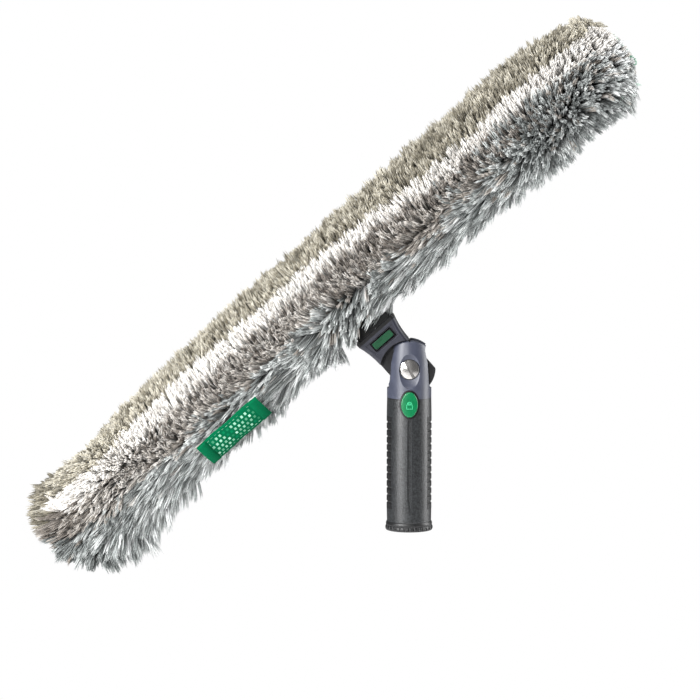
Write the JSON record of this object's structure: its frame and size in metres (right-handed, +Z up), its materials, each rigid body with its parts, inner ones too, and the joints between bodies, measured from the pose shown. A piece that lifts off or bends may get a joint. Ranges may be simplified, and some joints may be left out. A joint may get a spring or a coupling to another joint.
{
  "type": "window scrubber",
  "caption": "Window scrubber: a striped fibre sleeve on a bar, with a friction swivel neck and a grip that locks onto a pole with a push button.",
  "frame": {"origin": "centre of the pole socket's mouth, at the foot of the handle", "axes": "+Z up the handle towards the swivel bolt, -Y to the front, where the bolt's head and the push button are, +X to the bar's raised end at rest"},
  "size_m": [0.3824, 0.0536, 0.3473],
  "materials": {
    "fork_plastic": "moulded nylon, fine satin grain",
    "grip_plastic": "soft-touch moulding, fine matt grain",
    "grip_rubber": "matt ribbed rubber",
    "foot_rubber": "matt rubber",
    "black_plastic": "matt black moulding",
    "button_plastic": "green moulding, semi-gloss",
    "bolt_steel": "turned stainless steel",
    "spring_steel": "spring steel",
    "washer_nylon": "natural nylon",
    "bush_brass": "turned brass",
    "badge_plastic": "bare green plate",
    "pile_fabric": "grey and white striped pile",
    "scrub_fabric": "green non-woven scrub pad",
    "label_fabric": "green woven label, bare",
    "tape_fabric": "hook and loop tape"
  },
  "bodies": {
    "handle": {"pole_socket_tube": "black_plastic", "handle_yoke": "fork_plastic", "core_screw": "bolt_steel", "grip_sleeve": "grip_plastic", "grip_pad_left": "grip_rubber", "grip_pad_right": "grip_rubber", "end_ring": "foot_rubber", "button_bezel": "black_plastic", "pivot_bolt": "bolt_steel", "pivot_nut": "bolt_steel", "spring_washer": "spring_steel", "friction_washer_front": "washer_nylon", "friction_washer_rear": "washer_nylon", "button_spring": "spring_steel"},
    "pole_lock": {"lock_button": "button_plastic", "latch_ring": "spring_steel"},
    "washer_head": {"neck_block": "fork_plastic", "pivot_bush": "bush_brass", "neck_badge": "badge_plastic", "t_bar": "black_plastic", "neck_screw_left": "bolt_steel", "neck_screw_right": "bolt_steel", "fibre_sleeve": "pile_fabric", "end_scrub_pad": "scrub_fabric", "sleeve_label": "label_fabric", "closure_hook_tape": "tape_fabric", "closure_loop_tape": "tape_fabric"}
  },
  "joints": [
    {"name": "head_swivel", "type": "hinge", "parent": "handle", "child": "washer_head", "pos_m": [0, 0, 0.103], "axis": [0, 1, 0], "range_deg": [-48.5, 131.5]},
    {"name": "lock_button_press", "type": "slide", "parent": "handle", "child": "pole_lock", "axis": [0, 1, 0], "range_m": [0, 0.0018], "stiffness_N_per_m": 2500, "springref_m": -0.0015, "deforming": ["button_spring"]}
  ]
}
